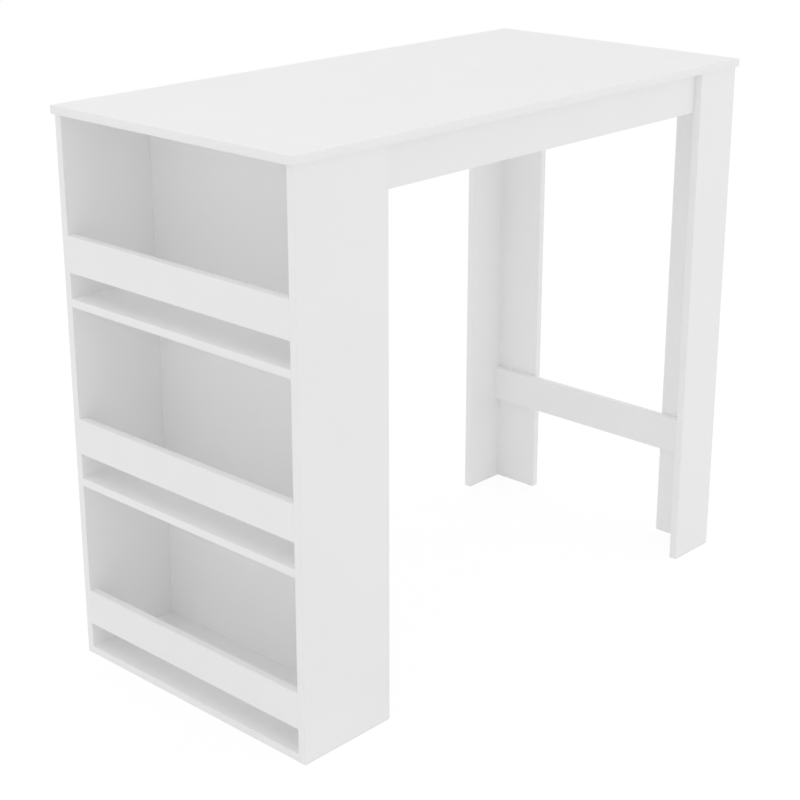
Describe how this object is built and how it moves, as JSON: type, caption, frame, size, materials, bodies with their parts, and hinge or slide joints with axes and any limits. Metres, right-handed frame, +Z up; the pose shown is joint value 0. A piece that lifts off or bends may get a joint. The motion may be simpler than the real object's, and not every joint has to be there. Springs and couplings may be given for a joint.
{
  "type": "bar table",
  "caption": "Tall bar table with a shelf unit that opens to the left end, and L-shaped legs joined by a foot stretcher at the right end.",
  "frame": {"origin": "centre of the tabletop's outline, on the floor plane", "axes": "+X along the table from the shelf unit to the legs, +Y across it to the rear, +Z up"},
  "size_m": [1.2, 0.59, 1.03],
  "materials": {
    "white_board": "white melamine-faced chipboard, satin",
    "edge_band": "white melamine edge band, satin",
    "dowel_wood": "raw beech",
    "cam_metal": "die-cast zinc, bare",
    "steel": "zinc-plated steel",
    "cover_plastic": "white plastic, satin"
  },
  "bodies": {
    "root": {"apron_cam_bolts": "steel", "apron_cams": "cam_metal", "apron_dowels": "dowel_wood", "apron_front": "white_board", "apron_front_edge_band": "edge_band", "apron_rear": "white_board", "apron_rear_edge_band": "edge_band", "back_panel_dowels": "dowel_wood", "cam_covers": "cover_plastic", "end_rail": "white_board", "end_rail_dowels": "dowel_wood", "end_rail_edge_band": "edge_band", "end_rail_screws": "steel", "foot_stretcher": "white_board", "foot_stretcher_edge_band": "edge_band", "leg_dowels": "dowel_wood", "leg_face_board_front": "white_board", "leg_face_board_front_edge_band": "edge_band", "leg_face_board_rear": "white_board", "leg_face_board_rear_edge_band": "edge_band", "leg_side_board_front": "white_board", "leg_side_board_front_edge_band": "edge_band", "leg_side_board_rear": "white_board", "leg_side_board_rear_edge_band": "edge_band", "rail_dowels": "dowel_wood", "shelf_back_panel": "white_board", "shelf_bottom": "white_board", "shelf_bottom_edge_band": "edge_band", "shelf_cam_bolts": "steel", "shelf_cams": "cam_metal", "shelf_dowels": "dowel_wood", "shelf_middle": "white_board", "shelf_middle_edge_band": "edge_band", "shelf_rail_bottom": "white_board", "shelf_rail_bottom_edge_band": "edge_band", "shelf_rail_middle": "white_board", "shelf_rail_middle_edge_band": "edge_band", "shelf_rail_upper": "white_board", "shelf_rail_upper_edge_band": "edge_band", "shelf_side_front": "white_board", "shelf_side_front_edge_band": "edge_band", "shelf_side_rear": "white_board", "shelf_side_rear_edge_band": "edge_band", "shelf_upper": "white_board", "shelf_upper_edge_band": "edge_band", "stretcher_dowels": "dowel_wood", "stretcher_screw_covers": "cover_plastic", "stretcher_screws": "steel", "tabletop": "white_board", "tabletop_cam_bolts": "steel", "tabletop_cams": "cam_metal", "tabletop_dowels": "dowel_wood", "tabletop_edge_band": "edge_band"}
  },
  "joints": []
}
